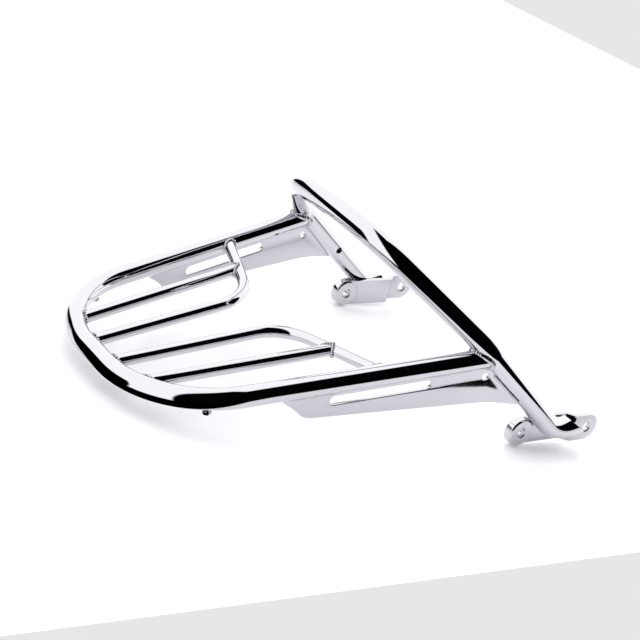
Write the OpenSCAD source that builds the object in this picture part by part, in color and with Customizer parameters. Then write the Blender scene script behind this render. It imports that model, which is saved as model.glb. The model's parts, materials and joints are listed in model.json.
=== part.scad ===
// Tubular luggage rack with a low backrest hoop for a motorcycle tail.
// Frame: X forward (towards the mounting feet), Y to the left side, Z up.
// Origin: middle of the common axis of the two rear mounting eyes.
// The pieces are worked out from the middle of the two joints where the rack rim meets the hoop
// legs, and frame() carries them to the origin above.

/* [Rack rim] */
// Outside diameter of the rim tube
rim_tube_d = 18; // [17:0.5:19]
// Wall of the rim tube
rim_wall = 1.5; // [1:0.25:2.5]
// Angle by which each rim leg closes in towards the rear
rim_taper = 9.2; // [8.6:0.1:9.6]
// Distance from the hoop joint back to the middle of the rear bend
rim_len = 306; // [300:1:312]
// Bend radius of the two rear corners
rim_corner_r = 92; // [86:1:94]

/* [Rails and slats] */
// Diameter of the round bars inside the rim
bar_d = 11; // [10:0.5:12]
// Side offset of a rail where it meets the rear of the rim
rail_rear_y = 17.6; // [16:0.2:20]
// Distance back to the bend of a rail
rail_bend_back = 141; // [136:1:146]
// Side offset of a rail at its bend
rail_bend_y = 28; // [26:0.5:30]
// Bend radius of a rail
rail_bend_r = 47; // [40:1:50]
// Distance back to the front end of a rail on the rim leg
rail_end_back = 103; // [100:1:106]
// Side offset of a short slat where it meets the rim
slat_rear_y = 54; // [52:0.5:56]
// Place of the slat end along the outward run of its rail
slat_end_share = 0.49; // [0.46:0.01:0.52]

/* [Backrest hoop] */
// Outside diameter of the hoop tube
hoop_tube_d = 20; // [19:0.5:21]
// Wall of the hoop tube
hoop_wall = 2; // [1.5:0.25:2.5]
// Lean of the hoop back from upright
hoop_lean = 41.4; // [40:0.2:43]
// Drop from the rack plane to the middle of the hoop feet
foot_drop = 99.6; // [97:0.2:102]
// Half width between the feet of the hoop
foot_half_w = 150.6; // [149.6:0.2:151.6]
// Half width between the hoop shoulders
shoulder_half_w = 143.8; // [142.6:0.2:145]
// Length along the hoop from foot level to the shoulder corner
shoulder_up = 148; // [146:1:152]
// Bend radius of the shoulder
shoulder_r = 42; // [36:1:48]
// Half width of the crown corner
crown_half_w = 65; // [60:1:70]
// Length along the hoop from foot level to the crown corner
crown_up = 249; // [244:1:254]
// Bend radius of the crown corner
crown_r = 67; // [60:1:72]
// Length along the hoop from foot level to the top of the crown
top_up = 261; // [259:1:265]
// Bend radius where a leg turns forward into its foot
foot_bend_r = 34; // [30:1:38]
// Length of the level foot from its bend corner to the tip
foot_len = 36.5; // [34:0.5:38]
// Angle of the slanting cut at the foot tip
foot_cut = 47; // [42:1:52]
// Diameter of the drain holes in the tubes
drain_d = 7; // [5:0.5:8]

/* [Side plates] */
// Thickness of a side plate
plate_t = 4; // [3:0.25:5]
// Length of the plate behind the hoop joint
plate_back = 197; // [190:1:202]
// Depth of the plate below the rack plane at its rear
plate_rear_drop = 31; // [29:0.5:33]
// Depth of the plate below the rack plane at the hoop joint
plate_front_drop = 45.5; // [43:0.5:48]
// Depth of the lowest plate corner at the hoop leg
plate_tip_drop = 55.5; // [53:0.5:57]
// Height of the long slot
slot_h = 8.8; // [6:0.2:9.4]
// Length of the long slot
slot_l = 96; // [84:1:100]
// Distance from the hoop joint back to the middle of the slot
slot_back = 107; // [104:1:110]
// Depth of the slot middle below the rack plane
slot_drop = 17.2; // [16.6:0.2:18]
// Diameter of the round hole at the upper front corner
corner_hole_d = 7; // [5:0.5:8]

/* [Mounting feet] */
// Width of the foot strap
strap_w = 26.5; // [25:0.5:27]
// Thickness of the foot strap
strap_t = 5; // [4:0.25:6]
// Sideways step between the rear and the front of the strap
strap_step = 7.5; // [6:0.25:9]
// Depth of the flat seat of the strap in the tube side
seat = 0.6; // [0.4:0.1:1]
// Distance of the rear eye ahead of the hoop joint
rear_eye_x = 54; // [52:0.5:56]
// Drop of the rear eye below the rack plane
rear_eye_drop = 96.5; // [95:0.5:98]
// Distance between the rear and the front eye
eye_pitch = 82; // [80:0.5:84]
// Slope of the strap down to the front
strap_slope = 10.3; // [9:0.1:12]
// Outside diameter of the rear bush
bush_d = 28; // [27.5:0.5:29]
// Length of the rear bush
bush_l = 10; // [8:0.5:12]
// Bore of the eyes for the mounting screws
eye_bore = 8.6; // [8.4:0.1:10.5]
// Chamfer at the mouths of the eyes
eye_chamfer = 0.9; // [0.5:0.1:1]

/* [Welds] */
// Size of the beads around the tube joints
bead = 2; // [1.5:0.1:2.4]
// Size of the beads around the bar joints
bar_bead = 1.6; // [1.2:0.1:2]

/* [Hidden] */
// Facets round a tube and round a full bend
tube_fn = 24;
bend_fn = 60;
hole_fn = 24;
swell = 0.15;
lap = 0.2;
chrome = [0.78, 0.79, 0.81];
weld_grey = [0.66, 0.66, 0.68];

// Hoop plane: a point at side y and height s along the plane
foot_x = foot_drop * tan(hoop_lean);
function hp(y, s) = [foot_x - s * sin(hoop_lean), y, -foot_drop + s * cos(hoop_lean)];
// The top bend takes all the length that the two crown bends leave
top_slope = atan((top_up - crown_up) / crown_half_w);
crown_turn = atan((crown_up - shoulder_up) / (shoulder_half_w - crown_half_w)) - top_slope;
top_r = (norm([crown_half_w, top_up - crown_up]) - crown_r * tan(crown_turn / 2) - 1) / tan(top_slope);
hoop_pts = [[foot_x + foot_len, foot_half_w, -foot_drop], hp(foot_half_w, 0), hp(shoulder_half_w, shoulder_up),
            hp(crown_half_w, crown_up), hp(0, top_up),
            hp(-crown_half_w, crown_up), hp(-shoulder_half_w, shoulder_up), hp(-foot_half_w, 0),
            [foot_x + foot_len, -foot_half_w, -foot_drop]];
hoop_radii = [foot_bend_r, shoulder_r, crown_r, top_r, crown_r, shoulder_r, foot_bend_r];

// The rim legs end on the axes of the hoop legs
rim_half_w = foot_half_w - (foot_half_w - shoulder_half_w) * foot_drop / cos(hoop_lean) / shoulder_up;
// Rim corner points
corner_y = rim_half_w - rim_len * tan(rim_taper);
rim_pts = [[0, rim_half_w, 0], [-rim_len, corner_y, 0], [-rim_len, -corner_y, 0], [0, -rim_half_w, 0]];
rim_radii = [rim_corner_r, rim_corner_r];

// Rail and slat end points on the left side
rail_end = [-rail_end_back, rim_half_w - rail_end_back * tan(rim_taper), 0];
rail_bend = [-rail_bend_back, rail_bend_y, 0];
rail_pts = [[-rim_len, rail_rear_y, 0], rail_bend, rail_end];
slat_end = rail_bend + (rail_end - rail_bend) * slat_end_share;
rim_turn = 90 + rim_taper;
rim_cx = -rim_len + rim_corner_r;
rim_cy = corner_y - rim_corner_r / tan(rim_turn / 2);
slat_start = [rim_cx - sqrt(rim_corner_r * rim_corner_r - (slat_rear_y - rim_cy) * (slat_rear_y - rim_cy)),
              slat_rear_y, 0];

// Strap frame: rear face line and eye places
strap_out = foot_half_w - hoop_tube_d / 2 + seat;
bush_y = strap_out - strap_t / 2 + 1.2;
foot_slot_x = foot_x + foot_len - 18.5;

function unit(v) = v / norm(v);

// Round bar between two points
module bar(a, b, d, fn = tube_fn) {
  v = b - a;
  translate(a)
    rotate([0, acos(v[2] / norm(v)), atan2(v[1], v[0])])
      cylinder(h = norm(v), d = d, $fn = fn);
}

// Bend of a tube at corner p1 between p0 and p2
module bend(p0, p1, p2, r, d) {
  d1 = unit(p0 - p1);
  d2 = unit(p2 - p1);
  inner = acos(d1 * d2);
  start = p1 + d1 * r / tan(inner / 2);
  mid = p1 + unit(d1 + d2) * r / sin(inner / 2);
  u = (start - mid) / r;
  w = -d1;
  n = cross(u, w);
  translate(mid)
    rotate([atan2(w[2], n[2]), -asin(u[2]), atan2(u[1], u[0])])
      rotate_extrude(angle = 180 - inner, $fn = bend_fn)
        translate([r, 0])
          circle(d = d + 2 * swell, $fn = tube_fn);
}

function cut_len(pts, radii, i) =
  (i < 1 || i > len(pts) - 2) ? 0
  : radii[i - 1] / tan(acos(unit(pts[i - 1] - pts[i]) * unit(pts[i + 1] - pts[i])) / 2);

// Solid rod along corner points with bends. A bend is a little fuller than the straight runs,
// as bent tube is, and the runs enter it slightly.
module rod(pts, radii, d) {
  for (i = [0:len(pts) - 2]) {
    v = unit(pts[i + 1] - pts[i]);
    lap1 = i > 0 ? lap : 0;
    lap2 = i < len(pts) - 2 ? lap : 0;
    bar(pts[i] + v * (cut_len(pts, radii, i) - lap1), pts[i + 1] - v * (cut_len(pts, radii, i + 1) - lap2),
        d);
  }
  for (i = [1:len(pts) - 2])
    bend(pts[i - 1], pts[i], pts[i + 1], radii[i - 1], d);
}

module hoop_rod(d) rod(hoop_pts, hoop_radii, d);
module rim_rod(d) rod(rim_pts, rim_radii, d);
module rail_rod(d) rod(rail_pts, [rail_bend_r], d);

// Straight piece of the left rim leg and of the left hoop leg
rim_dir = unit([-1, -tan(rim_taper), 0]);
leg_dir = unit(hp(shoulder_half_w, shoulder_up) - hp(foot_half_w, 0));
module leg_part(d) bar(hp(foot_half_w, 0) + leg_dir * 30, hp(foot_half_w, 0) + leg_dir * 128, d);
module rim_leg_part(d) bar(rim_pts[0], rim_pts[0] + rim_dir * 205, d);

module both() {
  children();
  mirror([0, 1, 0]) children();
}

// Slanting cut that opens the foot tips
module foot_tip_cut() {
  translate([foot_x + foot_len + 0.5, foot_half_w - 30, -foot_drop - hoop_tube_d / 2])
    rotate([0, -foot_cut, 0])
      cube([60, 60, 60]);
}

// Drain hole on the inner side of a hoop leg
module leg_drain() {
  p = hp(foot_half_w, 0) + leg_dir * 74;
  translate(p)
    rotate([90, 0, 0])
      cylinder(h = hoop_tube_d, d = drain_d, $fn = hole_fn);
}

// Drain hole on the lower inner side of a rim leg
module rim_drain() {
  translate(rim_pts[0] + rim_dir * 48)
    rotate([0, 0, rim_taper])
      rotate([135, 0, 0])
        cylinder(h = rim_tube_d, d = drain_d, $fn = hole_fn);
}

// Inner side of the foot tip cut away for the front eye
module foot_slot() {
  translate([foot_slot_x, foot_half_w - 30, -foot_drop - 20])
    cube([60, 30 - foot_half_w + strap_out + strap_step, 40]);
}

module hoop_tube() {
  difference() {
    hoop_rod(hoop_tube_d);
    hoop_rod(hoop_tube_d - 2 * hoop_wall);
    both() {
      foot_tip_cut();
      leg_drain();
      foot_slot();
    }
  }
}

module rim_tube() {
  difference() {
    rim_rod(rim_tube_d);
    rim_rod(rim_tube_d - 2 * rim_wall);
    both() {
      leg_part_all(hoop_tube_d);
      rim_drain();
    }
  }
}

// Hoop leg with its shoulder bend, used to shape the ends that meet it
module leg_part_all(d) {
  leg_part(d);
  bend(hoop_pts[1], hoop_pts[2], hoop_pts[3], shoulder_r, d);
}

// Ring on the line of the left rear corner bend, used to shape the ends that meet it
module corner_ring(d) {
  translate([rim_cx, rim_cy, 0])
    rotate([0, 0, 115])
      rotate_extrude(angle = 90, $fn = bend_fn)
        translate([rim_corner_r, 0])
          circle(d = d + 2 * swell, $fn = tube_fn);
}

// Straight outward run of the left rail
module rail_run(d) bar(rail_bend, rail_end, d);

module rail() {
  difference() {
    rail_rod(bar_d);
    corner_ring(rim_tube_d);
    rim_leg_part(rim_tube_d);
  }
}

module slat() {
  difference() {
    bar(slat_start, slat_end, bar_d);
    corner_ring(rim_tube_d);
    rail_run(bar_d + 2 * swell);
  }
}

// Plate outline in the plane of the rim leg, x forward and y up
module plate_outline() {
  difference() {
    polygon([[-plate_back, -4], [-plate_back, -12], [-plate_back + 9, -19], [-plate_back + 16, -26.5],
             [-plate_back + 20, -plate_rear_drop + 1.6], [-plate_back + 26, -plate_rear_drop],
             [-6, -plate_front_drop], [8, -plate_front_drop - 2.5], [36, -plate_tip_drop],
             [10, -16], [-6, -4]]);
    translate([-slot_back, -slot_drop]) slot_2d();
    translate([-5.2, -19.2]) circle(d = corner_hole_d, $fn = hole_fn);
  }
}

module slot_2d() {
  square([slot_l - slot_h, slot_h], center = true);
  translate([(slot_l - slot_h) / 2, 0]) circle(d = slot_h, $fn = hole_fn);
  translate([-(slot_l - slot_h) / 2, 0]) circle(d = slot_h, $fn = hole_fn);
}

module plate_place()
  translate(rim_pts[0])
    rotate([0, 0, rim_taper])
      rotate([90, 0, 0])
        children();

module side_plate() {
  difference() {
    plate_place()
      translate([0, 0, -plate_t / 2])
        linear_extrude(plate_t) plate_outline();
    rim_leg_part(rim_tube_d);
    leg_part_all(hoop_tube_d);
  }
}

// Strap in its own frame: x along the strap from the rear eye, z across, y outwards
module strap_place()
  translate([rear_eye_x, strap_out - strap_t, -rear_eye_drop])
    rotate([0, strap_slope, 0])
      children();

module strap_blank() {
  strap_place()
    intersection() {
      rotate([90, 0, 0])
        translate([0, 0, -30])
          linear_extrude(60) strap_outline();
      translate([0, 0, -30])
        linear_extrude(60) strap_bend_line();
    }
}

module strap_outline() {
  translate([0, -strap_w / 2]) square([eye_pitch, strap_w]);
  translate([eye_pitch, 0]) circle(d = strap_w, $fn = 48);
}

module strap_bend_line() {
  polygon([[-2, 0], [58, 0], [66, strap_step], [110, strap_step], [110, strap_step + strap_t],
           [64, strap_step + strap_t], [56, strap_t], [-2, strap_t]]);
}

// Lower leg and foot of the hoop up to the cut for the front eye
module foot_rod(d)
  rod([[foot_slot_x, foot_half_w, -foot_drop], hoop_pts[1], hp(foot_half_w, 0) + leg_dir * 60], [foot_bend_r], d);

module foot_strap() {
  difference() {
    strap_blank();
    foot_rod(hoop_tube_d);
    strap_place() {
      rotate([90, 0, 0]) translate([0, 0, -20]) cylinder(h = 40, d = bush_d, $fn = 48);
      translate([eye_pitch, 0, 0]) {
        rotate([90, 0, 0]) translate([0, 0, -40]) cylinder(h = 60, d = eye_bore, $fn = hole_fn);
        translate([0, strap_step + strap_t + 0.01, 0])
          rotate([90, 0, 0])
            cylinder(h = eye_chamfer, d1 = eye_bore + 2 * eye_chamfer, d2 = eye_bore, $fn = hole_fn);
        translate([0, strap_step - 0.01, 0])
          rotate([-90, 0, 0])
            cylinder(h = eye_chamfer, d1 = eye_bore + 2 * eye_chamfer, d2 = eye_bore, $fn = hole_fn);
      }
    }
  }
}

module rear_bush() {
  h = bush_l / 2;
  r = bush_d / 2;
  translate([rear_eye_x, bush_y, -rear_eye_drop])
    rotate([90, 0, 0])
      rotate_extrude($fn = 48)
        polygon([[eye_bore / 2, -h + eye_chamfer], [eye_bore / 2 + eye_chamfer, -h], [r - 1.4, -h],
                 [r, -h + 1.4], [r, h - 1.4], [r - 1.4, h], [eye_bore / 2 + eye_chamfer, h],
                 [eye_bore / 2, h - eye_chamfer]]);
}

// Short stud under the rim near its rear corner
module rim_stud() {
  a = 62;
  translate([rim_cx - rim_corner_r * cos(a), rim_cy + rim_corner_r * sin(a), -rim_tube_d / 2 - 4])
    difference() {
      union() {
        cylinder(h = 8, d = 6, $fn = hole_fn);
        cylinder(h = 2, d = 8, $fn = hole_fn);
      }
      translate([-rim_cx + rim_corner_r * cos(a), -rim_cy - rim_corner_r * sin(a), rim_tube_d / 2 + 4])
        bend(rim_pts[0], rim_pts[1], rim_pts[2], rim_corner_r, rim_tube_d);
    }
}

// Weld beads, each the corner left free between two joined pieces
module bead_hoop_joint() {
  difference() {
    intersection() {
      bar(rim_pts[0], rim_pts[0] + rim_dir * 30, rim_tube_d + 2 * bead);
      leg_part_all(hoop_tube_d + 2 * bead);
    }
    rim_leg_part(rim_tube_d);
    leg_part_all(hoop_tube_d);
    plate_place()
      translate([-60, -80, -plate_t / 2])
        cube([120, 77, plate_t]);
    translate([-9, rim_half_w - 15, -20])
      cube([30, 30, 15]);
  }
}

module bead_rail_rear() {
  difference() {
    intersection() {
      bar([-rim_len, rail_rear_y, 0], [-rim_len, rail_rear_y, 0] + unit(rail_bend - rail_pts[0]) * 20,
          bar_d + 2 * bar_bead);
      corner_ring(rim_tube_d + 2 * bar_bead);
    }
    bar(rail_pts[0], rail_pts[0] + unit(rail_bend - rail_pts[0]) * 40, bar_d);
    corner_ring(rim_tube_d);
    bar([-rim_len, rim_cy, 0], [-rim_len, -rim_cy, 0], rim_tube_d);
  }
}

module bead_rail_front() {
  v = unit(rail_bend - rail_end);
  difference() {
    intersection() {
      bar(rail_end, rail_end + v * 24, bar_d + 2 * bar_bead);
      rim_leg_part(rim_tube_d + 2 * bar_bead);
    }
    bar(rail_end, rail_end + v * 40, bar_d);
    rim_leg_part(rim_tube_d);
  }
}

module bead_slat_rear() {
  v = unit(slat_end - slat_start);
  difference() {
    intersection() {
      bar(slat_start, slat_start + v * 24, bar_d + 2 * bar_bead);
      corner_ring(rim_tube_d + 2 * bar_bead);
    }
    bar(slat_start, slat_start + v * 40, bar_d);
    corner_ring(rim_tube_d);
  }
}

module bead_slat_front() {
  v = unit(slat_start - slat_end);
  difference() {
    intersection() {
      bar(slat_end, slat_end + v * 20, bar_d + 2 * bar_bead);
      rail_run(bar_d + 2 * bar_bead + 2 * swell);
    }
    bar(slat_end, slat_end + v * 40, bar_d);
    rail_run(bar_d);
  }
}

// Two seams between the outer face of a plate and the rim leg
module bead_plate_rim() {
  difference() {
    for (seg = [[22, 38], [152, 40]])
      intersection() {
        bar(rim_pts[0] + rim_dir * seg[0], rim_pts[0] + rim_dir * (seg[0] + seg[1]), rim_tube_d + 2 * bead);
        plate_place()
          translate([-220, -20, -plate_t / 2 - bead])
            cube([240, 14, plate_t / 2 + bead]);
      }
    rim_leg_part(rim_tube_d);
    plate_place()
      translate([-220, -40, -plate_t / 2])
        cube([300, 80, plate_t]);
  }
}

// Seam between the outer face of a plate and the hoop leg
module bead_plate_hoop() {
  difference() {
    intersection() {
      leg_part(hoop_tube_d + 2 * bead);
      plate_place()
        translate([-30, -52, -plate_t / 2 - bead])
          cube([80, 34, plate_t / 2 + bead]);
      plate_place()
        translate([-60, -80, -plate_t / 2 - bead])
          linear_extrude(plate_t / 2 + bead)
            polygon([[30, 20], [90, 20], [96, 26], [96, 62], [30, 62]]);
      rear_of_leg();
    }
    leg_part(hoop_tube_d);
    plate_place()
      translate([-60, -100, -plate_t / 2])
        cube([160, 140, plate_t]);
  }
}

// Half space behind the axis of the left hoop leg
module rear_of_leg() {
  translate(hp(foot_half_w, 0))
    rotate([0, -hoop_lean, 0])
      translate([-60, -60, -20])
        cube([60, 100, 220]);
}

// Ring seams where the bush meets the strap
module bead_bush() {
  y1 = strap_out - bush_y;
  translate([rear_eye_x, bush_y, -rear_eye_drop])
    rotate([0, strap_slope, 0])
      rotate([90, 0, 0])
        difference() {
          intersection() {
            translate([0, 0, -y1 - bar_bead])
              rotate_extrude($fn = 48)
                polygon([[bush_d / 2, 0], [bush_d / 2 + bar_bead, bar_bead], [bush_d / 2, bar_bead]]);
            translate([0, -strap_w / 2, -30]) cube([40, strap_w, 60]);
          }
        }
}

// Seam along the top edge of the strap under the level foot
module bead_foot() {
  difference() {
    bar([foot_x + 2, strap_out, -foot_drop - hoop_tube_d / 2 + 1.2],
        [foot_x + 24, strap_out, -foot_drop - hoop_tube_d / 2 + 1.2], 2 * bead);
    foot_rod(hoop_tube_d);
    strap_blank();
  }
}

// Carries a piece from the rack joints to the mounting eyes
module frame() translate([-rear_eye_x, 0, rear_eye_drop]) children();

module weld(s) color(weld_grey) frame() mirror([0, s < 0 ? 1 : 0, 0]) children();

module part(s) color(chrome) frame() mirror([0, s < 0 ? 1 : 0, 0]) children();

part(1) hoop_tube();
part(1) rim_tube();
part(1) rail();  // rail_left
part(-1) rail();  // rail_right
part(1) slat();  // slat_left
part(-1) slat();  // slat_right
part(1) side_plate();  // side_plate_left
part(-1) side_plate();  // side_plate_right
part(1) foot_strap();  // foot_strap_left
part(-1) foot_strap();  // foot_strap_right
part(1) rear_bush();  // rear_bush_left
part(-1) rear_bush();  // rear_bush_right
part(1) rim_stud();  // rim_stud_left
part(-1) rim_stud();  // rim_stud_right
weld(1) bead_hoop_joint();  // bead_hoop_joint_left
weld(-1) bead_hoop_joint();  // bead_hoop_joint_right
weld(1) bead_rail_rear();  // bead_rail_rear_left
weld(-1) bead_rail_rear();  // bead_rail_rear_right
weld(1) bead_rail_front();  // bead_rail_front_left
weld(-1) bead_rail_front();  // bead_rail_front_right
weld(1) bead_slat_rear();  // bead_slat_rear_left
weld(-1) bead_slat_rear();  // bead_slat_rear_right
weld(1) bead_slat_front();  // bead_slat_front_left
weld(-1) bead_slat_front();  // bead_slat_front_right
weld(1) bead_plate_rim();  // bead_plate_rim_left
weld(-1) bead_plate_rim();  // bead_plate_rim_right
weld(1) bead_plate_hoop();  // bead_plate_hoop_left
weld(-1) bead_plate_hoop();  // bead_plate_hoop_right
weld(1) bead_bush();  // bead_bush_left
weld(-1) bead_bush();  // bead_bush_right
weld(1) bead_foot();  // bead_foot_left
weld(-1) bead_foot();  // bead_foot_right
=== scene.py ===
"""Chrome luggage rack with a low backrest hoop: finished pieces, chrome, studio and camera."""

import json
import math

import bpy
from bpy.props import FloatProperty, FloatVectorProperty, IntProperty, PointerProperty
from bpy.types import Operator, Panel, PropertyGroup
from mathutils import Matrix, Vector
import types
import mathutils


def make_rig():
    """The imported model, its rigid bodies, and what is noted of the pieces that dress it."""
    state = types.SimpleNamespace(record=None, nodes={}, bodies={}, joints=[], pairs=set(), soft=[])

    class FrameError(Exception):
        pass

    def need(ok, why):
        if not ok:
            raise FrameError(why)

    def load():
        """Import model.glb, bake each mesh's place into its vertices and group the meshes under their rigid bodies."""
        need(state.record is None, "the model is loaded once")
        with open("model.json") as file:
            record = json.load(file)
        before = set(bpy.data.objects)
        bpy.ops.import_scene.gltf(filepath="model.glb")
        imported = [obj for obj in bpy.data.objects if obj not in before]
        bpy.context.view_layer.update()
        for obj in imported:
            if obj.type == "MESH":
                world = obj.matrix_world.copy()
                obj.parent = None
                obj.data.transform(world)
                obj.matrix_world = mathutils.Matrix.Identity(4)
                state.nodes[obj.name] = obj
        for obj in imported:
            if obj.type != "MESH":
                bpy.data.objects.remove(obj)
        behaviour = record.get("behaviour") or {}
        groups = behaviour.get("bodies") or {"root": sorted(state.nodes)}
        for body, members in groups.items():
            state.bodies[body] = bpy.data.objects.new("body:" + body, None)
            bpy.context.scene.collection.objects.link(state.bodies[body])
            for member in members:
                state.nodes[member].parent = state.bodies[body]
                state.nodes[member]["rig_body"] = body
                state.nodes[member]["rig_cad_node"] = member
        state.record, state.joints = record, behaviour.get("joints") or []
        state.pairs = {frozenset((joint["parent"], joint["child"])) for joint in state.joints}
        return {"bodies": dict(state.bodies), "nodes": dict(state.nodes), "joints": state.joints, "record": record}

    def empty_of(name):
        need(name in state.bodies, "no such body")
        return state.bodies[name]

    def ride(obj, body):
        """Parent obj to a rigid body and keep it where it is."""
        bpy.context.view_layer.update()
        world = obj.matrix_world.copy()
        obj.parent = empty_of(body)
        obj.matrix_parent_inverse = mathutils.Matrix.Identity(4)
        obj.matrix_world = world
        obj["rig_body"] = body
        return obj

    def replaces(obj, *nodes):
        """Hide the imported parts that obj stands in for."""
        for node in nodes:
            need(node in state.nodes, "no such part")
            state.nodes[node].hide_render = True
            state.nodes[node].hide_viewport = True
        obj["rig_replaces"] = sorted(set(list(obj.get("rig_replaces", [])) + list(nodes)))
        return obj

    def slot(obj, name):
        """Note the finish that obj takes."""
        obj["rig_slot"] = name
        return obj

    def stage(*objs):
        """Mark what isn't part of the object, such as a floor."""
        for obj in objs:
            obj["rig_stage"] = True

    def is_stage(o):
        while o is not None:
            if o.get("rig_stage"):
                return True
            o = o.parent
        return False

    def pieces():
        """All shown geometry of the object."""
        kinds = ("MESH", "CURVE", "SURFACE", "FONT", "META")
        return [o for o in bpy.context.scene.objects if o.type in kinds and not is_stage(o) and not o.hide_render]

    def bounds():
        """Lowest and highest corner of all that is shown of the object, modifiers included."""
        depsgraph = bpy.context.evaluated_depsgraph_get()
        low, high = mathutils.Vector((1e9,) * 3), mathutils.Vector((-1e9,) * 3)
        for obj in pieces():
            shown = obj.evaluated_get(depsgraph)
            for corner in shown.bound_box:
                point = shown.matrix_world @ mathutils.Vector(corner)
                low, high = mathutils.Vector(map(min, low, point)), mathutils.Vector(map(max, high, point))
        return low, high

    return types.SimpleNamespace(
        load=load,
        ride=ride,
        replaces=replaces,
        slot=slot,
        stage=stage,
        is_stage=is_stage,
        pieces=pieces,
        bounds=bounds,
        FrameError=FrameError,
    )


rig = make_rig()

bl_info = {
    "name": "Chrome luggage rack",
    "version": (1, 0, 0),
    "blender": (4, 5, 0),
    "location": "View3D > Sidebar > Rack",
    "description": "Builds the finished look of a tubular motorcycle luggage rack",
    "category": "Object",
}

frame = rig.load()
cad_low, cad_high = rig.bounds()

SIDES = {"left": 1, "right": -1}

# Seams of a side plate: spans along the rim leg, then top, pitch and count of the points down the hoop leg
RIM_SEAMS = ((0.022, 0.060), (0.152, 0.192))
LEG_SEAM_TOP = 0.020
LEG_SEAM_PITCH = 0.0018
LEG_SEAM_POINTS = 18
LEG_SEAM_START = 0.030
# Seam between a foot and its strap: span along the foot and rise above the lowest line of the tube
FOOT_SEAM = (0.002, 0.024)
FOOT_SEAM_RISE = 0.0012
# Search for the skin of a tube: how far ahead and in how many steps
SKIN_REACH = 0.120
SKIN_STEPS = 240


# Sizes


def length(name, description, metres):
    return FloatProperty(name=name, description=description, default=metres, min=0.0, unit="LENGTH")


def turn(name, description, degrees):
    return FloatProperty(
        name=name, description=description, default=math.radians(degrees), unit="ROTATION"
    )


def colour(name, description, default):
    return FloatVectorProperty(
        name=name, description=description, default=default, min=0.0, max=1.0, size=3, subtype="COLOR"
    )


def share(name, description, default):
    return FloatProperty(
        name=name, description=description, default=default, min=0.0, max=1.0, subtype="FACTOR"
    )


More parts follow.
